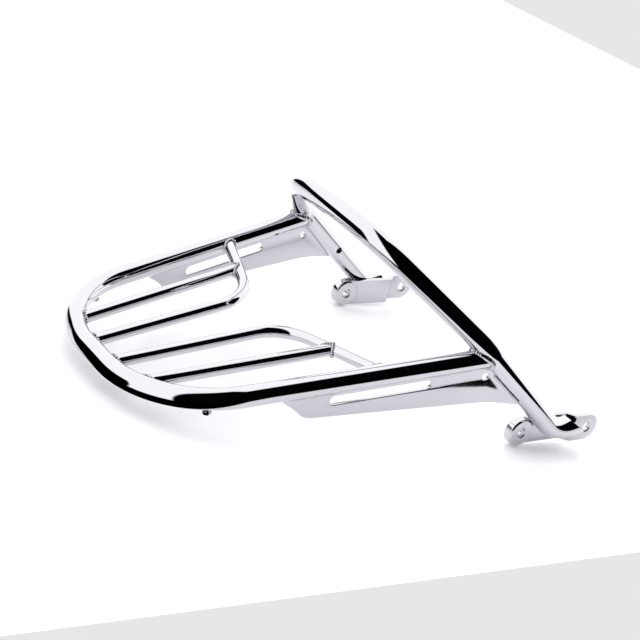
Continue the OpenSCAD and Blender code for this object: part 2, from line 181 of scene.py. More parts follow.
class RackSizes(PropertyGroup):
    """Driving sizes of the rack, those of its construction apart from the fuller weld beads."""

    rim_tube: length("Rim tube", "Outside diameter of the rim tube", 0.018)
    rim_wall: length("Rim wall", "Wall of the rim tube", 0.0015)
    rim_taper: turn("Rim taper", "Angle by which each rim leg closes in towards the rear", 9.2)
    rim_drain_back: length("Rim drain place", "Distance of the rim drain hole behind the joint", 0.048)
    rim_length: length("Rim length", "From the hoop joint back to the middle of the rear bend", 0.306)
    rim_corner: length("Rim corner", "Bend radius of the rear corners", 0.092)
    bar: length("Bar", "Diameter of the rails and slats", 0.011)
    rail_rear: length("Rail rear", "Side offset of a rail at the rear of the rim", 0.0176)
    rail_bend_back: length("Rail bend back", "Distance back to the bend of a rail", 0.141)
    rail_bend_side: length("Rail bend side", "Side offset of a rail at its bend", 0.028)
    rail_bend_radius: length("Rail bend radius", "Bend radius of a rail", 0.047)
    rail_end_back: length("Rail end back", "Distance back to the front end of a rail", 0.103)
    slat_rear: length("Slat rear", "Side offset of a short slat at the rim", 0.054)
    slat_end_share: share("Slat end", "Place of the slat end along the outward run of its rail", 0.49)
    hoop_tube: length("Hoop tube", "Outside diameter of the hoop tube", 0.020)
    hoop_wall: length("Hoop wall", "Wall of the hoop tube", 0.002)
    hoop_lean: turn("Hoop lean", "Lean of the hoop back from upright", 41.4)
    foot_drop: length("Foot drop", "Drop from the rack plane to the middle of the feet", 0.0996)
    foot_half: length("Foot half width", "Half width between the feet", 0.1506)
    shoulder_half: length("Shoulder half width", "Half width between the shoulders", 0.1438)
    shoulder_up: length("Shoulder height", "Length along the hoop up to the shoulder", 0.148)
    shoulder_radius: length("Shoulder radius", "Bend radius of the shoulder", 0.042)
    crown_half: length("Crown half width", "Half width of the crown corner", 0.065)
    crown_up: length("Crown height", "Length along the hoop up to the crown corner", 0.249)
    crown_radius: length("Crown radius", "Bend radius of the crown corner", 0.067)
    top_up: length("Top height", "Length along the hoop up to its top corner", 0.261)
    foot_radius: length("Foot radius", "Bend radius between leg and foot", 0.034)
    leg_drain_up: length("Leg drain place", "Distance of the leg drain hole up from the foot corner", 0.074)
    foot_slot: length("Foot slot", "Length of the opening in a foot tip for the front eye", 0.0185)
    foot_length: length("Foot length", "Length of the level foot", 0.0365)
    foot_cut: turn("Foot cut", "Slant of the cut through the foot tips", 47.0)
    drain: length("Drain hole", "Diameter of the drain holes", 0.007)
    plate: length("Plate", "Thickness of the side plates", 0.004)
    plate_back: length("Plate length", "Length of a plate behind the hoop joint", 0.197)
    plate_rear_drop: length("Plate rear drop", "Depth of a plate at its rear", 0.031)
    plate_front_drop: length("Plate front drop", "Depth of a plate at the hoop joint", 0.0455)
    plate_tip_drop: length("Plate tip drop", "Depth of the lowest corner of a plate", 0.0555)
    slot_length: length("Slot length", "Length of the slot in a plate", 0.096)
    slot_height: length("Slot height", "Height of the slot in a plate", 0.0088)
    slot_back: length("Slot place", "Distance of the slot behind the hoop joint", 0.107)
    slot_drop: length("Slot drop", "Depth of the slot below the rack plane", 0.0172)
    corner_hole: length("Corner hole", "Diameter of the hole at the front corner of a plate", 0.007)
    strap_step: length("Strap step", "Sideways step of a strap", 0.0075)
    strap_slope: turn("Strap slope", "Fall of a strap towards its front eye", 10.3)
    seat: length("Strap seat", "Depth by which a strap sits into its tube", 0.0006)
    eye_ahead: length("Eye ahead", "Distance from the hoop joint forward to the rear eyes", 0.054)
    eye_drop: length("Eye drop", "Drop from the rack plane to the rear eyes", 0.0965)
    bush: length("Bush", "Diameter of the rear bushes", 0.028)
    bead: length("Bead", "Leg of the larger weld beads, fuller than in the solids", 0.0026)
    bar_bead: length("Bar bead", "Leg of the weld beads on rails and slats, fuller than in the solids", 0.0020)
    ripple: length("Ripple", "Pitch of the ripples along a weld bead", 0.0020)
    edge: length("Edge", "Rounding on the edges of plates, straps and bushes", 0.0006)
    sides: IntProperty(name="Sides", description="Facets around a tube", default=64, min=24, max=96)


class RackFinish(PropertyGroup):
    """Colours and surface values of the plating."""

    chrome: colour("Chrome", "Colour of the chrome plating", (0.62, 0.62, 0.65))
    plate: colour("Plate chrome", "Colour of the plating on the flat plates", (0.60, 0.59, 0.63))
    weld: colour("Weld chrome", "Colour of the plating over the welds", (0.56, 0.56, 0.59))
    bare: colour("Bare steel", "Colour inside the tubes", (0.012, 0.012, 0.013))
    gloss: share("Roughness", "Roughness of the polished tubes", 0.035)
    floor: colour("Floor", "Colour of the floor", (0.93, 0.92, 0.95))


class RackStudio(PropertyGroup):
    """Camera, light and floor."""

    camera_place: FloatVectorProperty(
        name="Camera place",
        description="Place of the camera",
        default=(-0.8551, -0.9372, 0.7563),
        size=3,
        unit="LENGTH",
        subtype="TRANSLATION",
    )
    camera_turn: FloatVectorProperty(
        name="Camera turn",
        description="Turn of the camera about X, Y and Z",
        default=tuple(math.radians(a) for a in (59.8147, -6.0191, -34.0709)),
        size=3,
        unit="ROTATION",
        subtype="EULER",
    )
    lens: FloatProperty(name="Lens", description="Focal length in millimetres", default=84.87, min=10.0)
    floor_length: length("Floor length", "Length of the floor", 4.0)
    floor_depth: length("Floor depth", "Depth of the floor", 2.4)
    floor_tilt: turn("Floor tilt", "Tilt of the floor on which the feet and the rear bend rest", 14.4)
    dark_way: turn("Dark side", "Heading of the middle of the dark half of the room", -55.0)
    near_way: FloatVectorProperty(
        name="Dark near way",
        description="Direction of the middle of the dark cone on the near side",
        default=(0.25, -0.90, 0.35),
        size=3,
        subtype="DIRECTION",
    )
    low_share: share("Dark low share", "Downward share of a direction past which the room is dark", 0.3)
    rear_way: turn("Dark rear", "Heading of the dark part behind the rear bend", 132.0)
    rear_width: turn("Dark rear width", "Half width of the dark part behind the rear bend", 42.0)
    rear_top: turn("Dark rear top", "Height up to which the rear part is dark", 24.0)
    front_edge: length("Floor front", "Distance from the middle to the front edge of the floor", 0.31)
    screen: share("White screen", "Forward share of a direction past which a white screen stands", 0.33)
    floor_back: length("Floor back", "Distance past which reflections miss the floor", 0.33)
    floor_back_way: turn("Floor back way", "Heading of the part of the floor that reflections miss", 205.0)
    near_width: turn("Dark near width", "Half angle of the dark cone on the near side", 58.0)
    overhead: FloatProperty(name="Surround", description="Strength of the white surround", default=1.9)
    lamp: FloatProperty(name="Lamp", description="Power of the soft lamp above the floor", default=3.0)
    fill: FloatProperty(name="Fill", description="Strength of the light on the floor", default=1.75)


# Lines along which the tubes and bars run


class Lines:
    """Corner points and bend radii of the tubes and bars, in the frame of the part."""

    def __init__(self, s):
        self.sizes = s
        self.origin = Vector((-s.eye_ahead, 0, s.eye_drop))
        self.foot_x = s.foot_drop * math.tan(s.hoop_lean)
        tip = self.at(self.foot_x + s.foot_length, s.foot_half, -s.foot_drop)
        half = [
            tip,
            self.hoop_at(s.foot_half, 0),
            self.hoop_at(s.shoulder_half, s.shoulder_up),
            self.hoop_at(s.crown_half, s.crown_up),
        ]
        self.hoop = half + [self.hoop_at(0, s.top_up)] + [mirrored(p) for p in reversed(half)]
        up = [s.foot_radius, s.shoulder_radius, s.crown_radius]
        self.hoop_radii = up + [top_radius(s)] + up[::-1]
        drop_along = s.foot_drop / math.cos(s.hoop_lean) / s.shoulder_up
        rim_half = s.foot_half - (s.foot_half - s.shoulder_half) * drop_along
        tan_taper = math.tan(s.rim_taper)
        corner = rim_half - s.rim_length * tan_taper
        half = [self.at(0, rim_half), self.at(-s.rim_length, corner)]
        self.rim = half + [mirrored(p) for p in reversed(half)]
        self.rim_radii = [s.rim_corner] * 2
        self.rim_way = (half[1] - half[0]).normalized()
        self.leg_way = (self.hoop[2] - self.hoop[1]).normalized()
        rail_end = self.at(-s.rail_end_back, rim_half - s.rail_end_back * tan_taper)
        rail_bend = self.at(-s.rail_bend_back, s.rail_bend_side)
        self.rail = [self.at(-s.rim_length, s.rail_rear), rail_bend, rail_end]
        bend = turns(self.rim, self.rim_radii)[0]
        reach = self.sizes.slat_rear - bend.centre.y
        slat_x = bend.centre.x - math.sqrt(s.rim_corner**2 - reach**2)
        self.slat = [
            Vector((slat_x, s.slat_rear, s.eye_drop)),
            rail_bend.lerp(rail_end, s.slat_end_share),
        ]
        self.strap_out = s.foot_half - s.hoop_tube / 2 + s.seat

    def at(self, x, y, z=0.0):
        """A point given from the hoop joints."""
        return self.origin + Vector((x, y, z))

    def hoop_at(self, y, along):
        """A point of the hoop plane at a length up from the feet."""
        lean = self.sizes.hoop_lean
        return self.at(
            self.foot_x - along * math.sin(lean), y, -self.sizes.foot_drop + along * math.cos(lean)
        )


def top_radius(s):
    """The top bend takes all the length that the two crown bends leave."""
    slope = math.atan2(s.top_up - s.crown_up, s.crown_half)
    crown_turn = math.atan2(s.crown_up - s.shoulder_up, s.shoulder_half - s.crown_half) - slope
    run = math.hypot(s.crown_half, s.top_up - s.crown_up)
    return (run - s.crown_radius * math.tan(crown_turn / 2) - 0.001) / math.tan(slope)


def mirrored(point):
    return Vector((point.x, -point.y, point.z))


class Turn:
    """One bend of a tube: where it starts and ends, and the turn between."""

    def __init__(self, before, corner, after, radius):
        back, on = (before - corner).normalized(), (after - corner).normalized()
        half = back.angle(on) / 2
        self.start = corner + back * (radius / math.tan(half))
        self.end = corner + on * (radius / math.tan(half))
        self.centre = corner + (back + on).normalized() * (radius / math.sin(half))
        self.axis = (-back).cross(on).normalized()
        self.angle = math.pi - 2 * half


def turns(points, radii):
    return [Turn(*trio) for trio in zip(points, points[1:], points[2:], radii)]


def traced(points, radii, step=math.radians(1.5)):
    """Close points along the middle of a bent tube."""
    line = [points[0]]
    for bend in turns(points, radii):
        line.append(bend.start)
        count = max(2, math.ceil(bend.angle / step))
        arm = bend.start - bend.centre
        for i in range(1, count + 1):
            line.append(bend.centre + Matrix.Rotation(bend.angle * i / count, 3, bend.axis) @ arm)
    line.append(points[-1])
    return line


def distance_to(line, point):
    """Distance from a point to a line of close points."""
    best = math.inf
    for a, b in zip(line, line[1:]):
        run = b - a
        t = min(1.0, max(0.0, (point - a).dot(run) / run.length_squared))
        best = min(best, (a + run * t - point).length)
    return best


# Modelling helpers


def deselect():
    if bpy.context.mode != "OBJECT":
        bpy.ops.object.mode_set(mode="OBJECT")
    bpy.ops.object.select_all(action="DESELECT")


def only(piece):
    """Makes piece the one selected and active object."""
    deselect()
    piece.select_set(True)
    bpy.context.view_layer.objects.active = piece


def settle(piece, name):
    """Gives a piece its name and moves its place into its mesh."""
    only(piece)
    piece.name = name
    piece.data.name = name
    bpy.ops.object.transform_apply(location=True, rotation=True, scale=True)


def apply_modifiers(piece):
    only(piece)
    for modifier in list(piece.modifiers):
        bpy.ops.object.modifier_apply(modifier=modifier.name)


def smooth(piece, degrees=35):
    only(piece)
    bpy.ops.object.shade_smooth_by_angle(angle=math.radians(degrees))


def finish(piece, nodes, slot, *materials):
    """Joins a piece to the frame in place of its CAD nodes and gives it its materials."""
    for i, material in enumerate(materials):
        if i < len(piece.data.materials):
            piece.data.materials[i] = material
        else:
            piece.data.materials.append(material)
    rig.replaces(piece, *nodes)
    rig.slot(piece, slot)
    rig.ride(piece, "root")


def twin(piece, name):
    """A mirrored copy of a left piece for the right side."""
    only(piece)
    bpy.ops.object.duplicate()
    other = bpy.context.object
    other.scale = (1, -1, 1)
    settle(other, name)
    bpy.ops.object.mode_set(mode="EDIT")
    bpy.ops.mesh.select_all(action="SELECT")
    bpy.ops.mesh.normals_make_consistent(inside=False)
    bpy.ops.object.mode_set(mode="OBJECT")
    return other


def tube(name, points, radii, diameter, sides):
    """A round tube skin: one circle carried along the straight runs and spun round the bends."""
    deselect()
    aim = (points[1] - points[0]).to_track_quat("Z", "Y").to_euler()
    bpy.ops.mesh.primitive_circle_add(
        vertices=sides, radius=diameter / 2, location=points[0], rotation=aim
    )
    piece = bpy.context.object
    settle(piece, name)
    bpy.ops.object.mode_set(mode="EDIT")
    bpy.ops.mesh.select_all(action="SELECT")
    here = points[0]
    for bend in turns(points, radii):
        push(bend.start - here)
        bpy.ops.mesh.spin(
            steps=max(4, math.ceil(bend.angle / math.radians(2.5))),
            angle=-bend.angle,
            center=bend.centre,
            axis=bend.axis,
        )
        here = bend.end
    push(points[-1] - here)
    bpy.ops.mesh.select_all(action="SELECT")
    bpy.ops.mesh.remove_doubles(threshold=1e-6)
    bpy.ops.mesh.normals_make_consistent(inside=False)
    bpy.ops.object.mode_set(mode="OBJECT")
    return piece


def pick(piece, wanted):
    """Selects the vertices that lie where wanted, in edit mode."""
    only(piece)
    bpy.ops.object.mode_set(mode="EDIT")
    bpy.ops.mesh.select_mode(type="VERT")
    bpy.ops.mesh.select_all(action="DESELECT")
    bpy.ops.object.mode_set(mode="OBJECT")
    for vertex in piece.data.vertices:
        vertex.select = wanted(vertex.co)
    bpy.ops.object.mode_set(mode="EDIT")


def push(move):
    """Draws the selected ring out into a new straight run."""
    bpy.ops.mesh.extrude_region_move(TRANSFORM_OT_translate={"value": move})


def close_ends(piece):
    """Caps the open ends of a solid bar."""
    only(piece)
    bpy.ops.object.mode_set(mode="EDIT")
    bpy.ops.mesh.select_all(action="DESELECT")
    bpy.ops.mesh.select_mode(type="EDGE")
    bpy.ops.mesh.select_non_manifold()
    bpy.ops.mesh.edge_face_add()
    bpy.ops.mesh.select_mode(type="VERT")
    bpy.ops.object.mode_set(mode="OBJECT")


def give_wall(piece, wall):
    """Turns a skin into a tube wall whose inner faces take the second material."""
    wall_maker = piece.modifiers.new("Wall", "SOLIDIFY")
    wall_maker.thickness = wall
    wall_maker.offset = -1
    wall_maker.material_offset = 1
    apply_modifiers(piece)


def cut(piece, *tools):
    """Takes the tools out of a piece and removes them."""
    for tool in tools:
        remove = piece.modifiers.new("Cut", "BOOLEAN")
        remove.operation = "DIFFERENCE"
        remove.object = tool
        apply_modifiers(piece)
        bpy.data.objects.remove(tool)


def drill(centre, direction, diameter, depth):
    """A round cutting tool that starts at centre."""
    deselect()
    bpy.ops.mesh.primitive_cylinder_add(
        vertices=48,
        radius=diameter / 2,
        depth=depth,
        location=centre + direction.normalized() * depth / 2,
        rotation=direction.to_track_quat("Z", "Y").to_euler(),
    )
    return bpy.context.object


def block(low, high):
    """A box-shaped cutting tool between two corners."""
    deselect()
    bpy.ops.mesh.primitive_cube_add(size=1, location=(low + high) / 2, scale=high - low)
    return bpy.context.object


def eased(node, name, edge, angle=30):
    """A copy of a CAD node with joined faces and rounded edges."""
    only(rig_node(node))
    bpy.ops.object.duplicate()
    piece = bpy.context.object
    for key in [k for k in piece.keys() if k.startswith("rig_")]:
        del piece[key]
    piece.parent = None
    settle(piece, name)
    bpy.ops.object.mode_set(mode="EDIT")
    bpy.ops.mesh.select_all(action="SELECT")
    bpy.ops.mesh.remove_doubles(threshold=2e-6)
    bpy.ops.mesh.dissolve_limited(angle_limit=math.radians(1.0))
    bpy.ops.object.mode_set(mode="OBJECT")
    rounding = piece.modifiers.new("Edge", "BEVEL")
    rounding.width = edge
    rounding.segments = 3
    rounding.limit_method = "ANGLE"
    rounding.angle_limit = math.radians(angle)
    rounding.harden_normals = False
    apply_modifiers(piece)
    smooth(piece, 30)
    return piece


def sheet(name, loops, thickness, edge):
    """A flat plate with rounded edges: the first loop is its outline and the others are its holes."""
    flat = bpy.data.curves.new(name, "CURVE")
    flat.dimensions = "2D"
    flat.fill_mode = "BOTH"
    flat.extrude = thickness / 2 - edge
    flat.bevel_depth = edge
    flat.bevel_resolution = 2
    flat.offset = -edge
    for loop in loops:
        spline = flat.splines.new("POLY")
        spline.points.add(len(loop) - 1)
        for point, (x, y) in zip(spline.points, loop):
            point.co = (x, y, 0, 1)
        spline.use_cyclic_u = True
    piece = bpy.data.objects.new(name, flat)
    bpy.context.scene.collection.objects.link(piece)
    only(piece)
    bpy.ops.object.convert(target="MESH")
    piece = bpy.context.object
    bpy.ops.object.mode_set(mode="EDIT")
    bpy.ops.mesh.select_all(action="SELECT")
    bpy.ops.mesh.remove_doubles(threshold=1e-6)
    bpy.ops.mesh.normals_make_consistent(inside=False)
    bpy.ops.object.mode_set(mode="OBJECT")
    return piece


def arc(x, y, radius, start, end, count=24):
    """Points along an arc given by its angles in degrees."""
    angles = [math.radians(start + (end - start) * i / count) for i in range(count + 1)]
    return [(x + radius * math.cos(a), y + radius * math.sin(a)) for a in angles]


def plate_loops(s):
    """Outline, slot and corner hole of a side plate, x forward from the hoop joint and y up."""
    outline = [
        (-s.plate_back, -0.004),
        (-s.plate_back, -0.012),
        (-s.plate_back + 0.009, -0.019),
        (-s.plate_back + 0.016, -0.0265),
        (-s.plate_back + 0.020, -s.plate_rear_drop + 0.0016),
        (-s.plate_back + 0.026, -s.plate_rear_drop),
        (-0.006, -s.plate_front_drop),
        (0.008, -s.plate_front_drop - 0.0025),
        (0.036, -s.plate_tip_drop),
        (0.010, -0.016),
        (-0.006, -0.004),
    ]
    end = (s.slot_length - s.slot_height) / 2
    radius = s.slot_height / 2
    slot = arc(-s.slot_back + end, -s.slot_drop, radius, 90, -90)
    slot += arc(-s.slot_back - end, -s.slot_drop, radius, -90, -270)
    hole = arc(-0.0052, -0.0192, s.corner_hole / 2, 0, -345, 23)
    return [outline, slot, hole]


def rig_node(name):
    return frame["nodes"][name]


# Weld seams


def cope_line(start, way, radius, other, other_radius, angles):
    """Where a bar that starts on the line of another tube comes out of that tube's skin."""
    side = way.orthogonal().normalized()
    over = way.cross(side).normalized()
    seam = []
    for a in angles:
        out = side * math.cos(a) + over * math.sin(a)
        near, far = 0.0, 0.045
        for _ in range(26):
            middle = (near + far) / 2
            point = start + way * middle + out * radius
            if distance_to(other, point) < other_radius:
                near = middle
            else:
                far = middle
        seam.append(start + way * far + out * radius)
    return seam


def even_points(line, pitch, closed=False):
    """Points at an even pitch along a line."""
    ring = line + [line[0]] if closed else line
    total = sum((b - a).length for a, b in zip(ring, ring[1:]))
    count = max(2, round(total / pitch))
    marks = [total * i / count for i in range(count if closed else count + 1)]
    found, gone = [], 0.0
    run = iter(zip(ring, ring[1:]))
    a, b = next(run)
    for mark in marks:
        while gone + (b - a).length < mark - 1e-9:
            gone += (b - a).length
            a, b = next(run)
        way = (b - a).normalized()
        found.append((a + way * (mark - gone), way))
    return found


def weld_bead(name, lines, leg, pitch, closed=False):
    """A rippled bead: overlapping flattened drops along each line, fused into one skin."""
    deselect()
    bpy.ops.mesh.primitive_uv_sphere_add(segments=12, ring_count=8, radius=leg)
    piece = bpy.context.object
    settle(piece, name)
    bpy.ops.object.mode_set(mode="EDIT")
    bpy.ops.mesh.select_all(action="SELECT")
    bpy.ops.mesh.delete(type="VERT")
    for line in lines:
        for i, (point, way) in enumerate(even_points(line, pitch, closed)):
            grow = 1 + 0.07 * math.sin(i * 2.4) + 0.05 * math.sin(i * 0.9)
            bpy.ops.mesh.primitive_uv_sphere_add(
                segments=14,
                ring_count=8,
                radius=leg * grow,
                location=point,
                rotation=way.to_track_quat("Z", "Y").to_euler(),
                scale=(1, 1, 0.62),
            )
    bpy.ops.object.mode_set(mode="OBJECT")
    fuse = piece.modifiers.new("Fuse", "REMESH")
    fuse.mode = "VOXEL"
    fuse.voxel_size = leg / 6
    ease = piece.modifiers.new("Ease", "SMOOTH")
    ease.factor = 0.5
    ease.iterations = 2
    apply_modifiers(piece)
    only(piece)
    bpy.ops.object.shade_smooth()
    return piece


# Materials


def node_group(name, inputs, outputs):
    """An empty shader node group with its sockets."""
    group = bpy.data.node_groups.new(name, "ShaderNodeTree")
    for label, kind, default in inputs:
        socket = group.interface.new_socket(name=label, in_out="INPUT", socket_type=kind)
        socket.default_value = default
    for label, kind in outputs:
        group.interface.new_socket(name=label, in_out="OUTPUT", socket_type=kind)
    return group, group.nodes.new("NodeGroupInput"), group.nodes.new("NodeGroupOutput")


def plating_group():
    """Slight waviness, polishing haze and tint change of bright chrome over steel."""
    group, given, made = node_group(
        "Plating",
        [
            ("Tint", "NodeSocketColor", (0.6, 0.6, 0.6, 1)),
            ("Deep Tint", "NodeSocketColor", (0.5, 0.5, 0.5, 1)),
            ("Polish", "NodeSocketFloat", 0.04),
            ("Haze", "NodeSocketFloat", 0.05),
            ("Wave", "NodeSocketFloat", 0.00002),
            ("Wave Scale", "NodeSocketFloat", 60.0),
        ],
        [("Color", "NodeSocketColor"), ("Roughness", "NodeSocketFloat"), ("Normal", "NodeSocketVector")],
    )
    add, link = group.nodes.new, group.links.new
    place = add("ShaderNodeTexCoord")
    patches = add("ShaderNodeTexNoise")
    patches.inputs["Scale"].default_value = 22
    patches.inputs["Detail"].default_value = 4
    link(place.outputs["Object"], patches.inputs["Vector"])
    tint = add("ShaderNodeMix")
    tint.data_type = "RGBA"
    link(patches.outputs["Fac"], tint.inputs["Factor"])
    link(given.outputs["Tint"], tint.inputs["A"])
    link(given.outputs["Deep Tint"], tint.inputs["B"])
    link(tint.outputs["Result"], made.inputs["Color"])
    rub = add("ShaderNodeTexNoise")
    rub.inputs["Scale"].default_value = 340
    rub.inputs["Detail"].default_value = 6
    rub.inputs["Roughness"].default_value = 0.62
    link(place.outputs["Object"], rub.inputs["Vector"])
    haze = add("ShaderNodeMapRange")
    haze.inputs["From Min"].default_value = 0.52
    haze.inputs["From Max"].default_value = 0.80
    link(rub.outputs["Fac"], haze.inputs["Value"])
    link(given.outputs["Polish"], haze.inputs["To Min"])
    total = add("ShaderNodeMath")
    total.operation = "ADD"
    link(given.outputs["Polish"], total.inputs[0])
    link(given.outputs["Haze"], total.inputs[1])
    link(total.outputs["Value"], haze.inputs["To Max"])
    link(haze.outputs["Result"], made.inputs["Roughness"])
    swell = add("ShaderNodeTexNoise")
    swell.inputs["Detail"].default_value = 1.5
    link(given.outputs["Wave Scale"], swell.inputs["Scale"])
    link(place.outputs["Object"], swell.inputs["Vector"])
    relief = add("ShaderNodeBump")
    relief.inputs["Strength"].default_value = 1
    link(given.outputs["Wave"], relief.inputs["Distance"])
    link(swell.outputs["Fac"], relief.inputs["Height"])
    link(relief.outputs["Normal"], made.inputs["Normal"])
    return group


def plated(name, tint, deep, polish, haze, wave, wave_scale):
    """A chrome material driven by the plating group."""
    material = bpy.data.materials.new(name)
    material.use_nodes = True
    tree = material.node_tree
    shader = tree.nodes["Principled BSDF"]
    shader.inputs["Metallic"].default_value = 1
    shader.inputs["IOR"].default_value = 2.5
    group = tree.nodes.new("ShaderNodeGroup")
    group.node_tree = bpy.data.node_groups["Plating"]
    group.inputs["Tint"].default_value = (*tint, 1)
    group.inputs["Deep Tint"].default_value = (*deep, 1)
    group.inputs["Polish"].default_value = polish
    group.inputs["Haze"].default_value = haze
    group.inputs["Wave"].default_value = wave
    group.inputs["Wave Scale"].default_value = wave_scale
    tree.links.new(group.outputs["Color"], shader.inputs["Base Color"])
    tree.links.new(group.outputs["Roughness"], shader.inputs["Roughness"])
    tree.links.new(group.outputs["Normal"], shader.inputs["Normal"])
    return material


def bare_steel(name, tint):
    """Dull dark steel inside the tubes."""
    material = bpy.data.materials.new(name)
    material.use_nodes = True
    tree = material.node_tree
    shader = tree.nodes["Principled BSDF"]
    shader.inputs["Metallic"].default_value = 0.4
    place = tree.nodes.new("ShaderNodeTexCoord")
    grain = tree.nodes.new("ShaderNodeTexNoise")
    grain.inputs["Scale"].default_value = 400
    tree.links.new(place.outputs["Object"], grain.inputs["Vector"])
    shade = tree.nodes.new("ShaderNodeMix")
    shade.data_type = "RGBA"
    shade.inputs["A"].default_value = (*tint, 1)
    shade.inputs["B"].default_value = (*[c * 2.2 for c in tint], 1)
    tree.links.new(grain.outputs["Fac"], shade.inputs["Factor"])
    tree.links.new(shade.outputs["Result"], shader.inputs["Base Color"])
    shader.inputs["Roughness"].default_value = 0.7
    return material


def darker(tint, share_left=0.93):
    return [c * share_left for c in tint]


def chrome(which):
    """One of the shared materials, made on first use."""
    look = bpy.context.scene.rack_finish
    if "Plating" not in bpy.data.node_groups:
        plating_group()
    if which in bpy.data.materials:
        return bpy.data.materials[which]
    if which == "tube":
        return plated("tube", look.chrome, darker(look.chrome), look.gloss, 0.05, 0.00003, 45)
    if which == "sheet":
        return plated("sheet", look.plate, darker(look.plate, 0.9), look.gloss + 0.05, 0.10, 0.00006, 70)
    if which == "seam":
        return plated("seam", look.weld, darker(look.weld, 0.8), look.gloss + 0.03, 0.16, 0.00012, 420)
    return bare_steel("bore", look.bare)


# Pieces


class RACK_OT_hoop(Operator):
    """Backrest hoop bent from one tube, with open slanting foot tips and drain holes"""

    bl_idname = "rack.hoop"
    bl_label = "Backrest Hoop"

    def execute(self, context):
        s = context.scene.rack_sizes
        way = Lines(s)
        piece = tube("hoop", way.hoop, way.hoop_radii, s.hoop_tube, s.sides)
        only(piece)
        foot_top = way.at(0, 0, -s.foot_drop + s.hoop_tube).z
        pick(piece, lambda place: place.z < foot_top)
        bpy.ops.mesh.bisect(
            plane_co=way.at(way.foot_x + s.foot_length + 0.0005, 0, -s.foot_drop - s.hoop_tube / 2),
            plane_no=(math.cos(s.foot_cut), 0, math.sin(s.foot_cut)),
            clear_outer=True,
        )
        bpy.ops.object.mode_set(mode="OBJECT")
        give_wall(piece, s.hoop_wall)
        slot_x = way.foot_x + s.foot_length - s.foot_slot
        for side in SIDES.values():
            low = way.at(slot_x, s.foot_half - 0.030, -s.foot_drop - 0.020)
            high = way.at(slot_x + 0.060, way.strap_out + s.strap_step, -s.foot_drop + 0.020)
            ends = sorted((low.y * side, high.y * side))
            leg = way.hoop[1] + way.leg_way * s.leg_drain_up
            leg.y *= side
            cut(
                piece,
                block(Vector((low.x, ends[0], low.z)), Vector((high.x, ends[1], high.z))),
                drill(leg, Vector((0, -side, 0)), s.drain, s.hoop_tube),
            )
        smooth(piece)
        finish(piece, ["hoop_tube"], "chrome_tube", chrome("tube"), chrome("bore"))
        return {"FINISHED"}


class RACK_OT_rim(Operator):
    """Rack rim bent from one tube, its ends inside the joints with the hoop legs"""

    bl_idname = "rack.rim"
    bl_label = "Rack Rim"

    def execute(self, context):
        s = context.scene.rack_sizes
        way = Lines(s)
        piece = tube("rim", way.rim, way.rim_radii, s.rim_tube, s.sides)
        give_wall(piece, s.rim_wall)
        for side in SIDES.values():
            centre = way.rim[0] + way.rim_way * s.rim_drain_back
            centre.y *= side
            lower = Vector((math.sin(s.rim_taper), -side * math.cos(s.rim_taper), -1))
            cut(piece, drill(centre, lower, s.drain, s.rim_tube))
        smooth(piece)
        finish(piece, ["rim_tube"], "chrome_tube", chrome("tube"), chrome("bore"))
        return {"FINISHED"}


class RACK_OT_bars(Operator):
    """Two bent rails and two short slats inside the rim"""

    bl_idname = "rack.bars"
    bl_label = "Rails and Slats"

    def execute(self, context):
        s = context.scene.rack_sizes
        way = Lines(s)
        rail = tube("rail_bar_left", way.rail, [s.rail_bend_radius], s.bar, s.sides)
        slat = tube("slat_bar_left", way.slat, [], s.bar, s.sides)
        for bar, node in ((rail, "rail"), (slat, "slat")):
            close_ends(bar)
            smooth(bar)
            other = twin(bar, f"{node}_bar_right")
            finish(bar, [f"{node}_left"], "chrome_tube", chrome("tube"))
            finish(other, [f"{node}_right"], "chrome_tube", chrome("tube"))
        return {"FINISHED"}


class RACK_OT_plates(Operator):
    """Slotted side plates, foot straps, bushes and rim studs with eased edges"""

    bl_idname = "rack.plates"
    bl_label = "Plates and Feet"

    def execute(self, context):
        s = context.scene.rack_sizes
        kinds = (
            ("foot_strap", "strap", s.edge, "chrome_plate", "sheet"),
            ("rear_bush", "bush", s.edge * 0.5, "chrome_tube", "tube"),
            ("rim_stud", "stud", s.edge * 0.5, "chrome_tube", "tube"),
        )
        way = Lines(s)
        plate = sheet("plate_left", plate_loops(s), s.plate, s.edge)
        plate.location = way.rim[0]
        plate.rotation_euler = (math.radians(90), 0, s.rim_taper)
        settle(plate, "plate_left")
        smooth(plate, 30)
        other = twin(plate, "plate_right")
        finish(plate, ["side_plate_left"], "chrome_plate", chrome("sheet"))
        finish(other, ["side_plate_right"], "chrome_plate", chrome("sheet"))
        for node, name, edge, slot, look in kinds:
            for side in SIDES:
                piece = eased(f"{node}_{side}", f"{name}_{side}", edge)
                finish(piece, [f"{node}_{side}"], slot, chrome(look))
        return {"FINISHED"}


class RACK_OT_welds(Operator):
    """Rippled weld beads at every joint"""

    bl_idname = "rack.welds"
    bl_label = "Weld Beads"

    def execute(self, context):
        s = context.scene.rack_sizes
        for name, lines, leg, closed in seams(s, Lines(s)):
            piece = weld_bead(f"weld_{name}_left", lines, leg, s.ripple, closed)
            other = twin(piece, f"weld_{name}_right")
            finish(piece, [f"bead_{name}_left"], "chrome_weld", chrome("seam"))
            finish(other, [f"bead_{name}_right"], "chrome_weld", chrome("seam"))
        return {"FINISHED"}


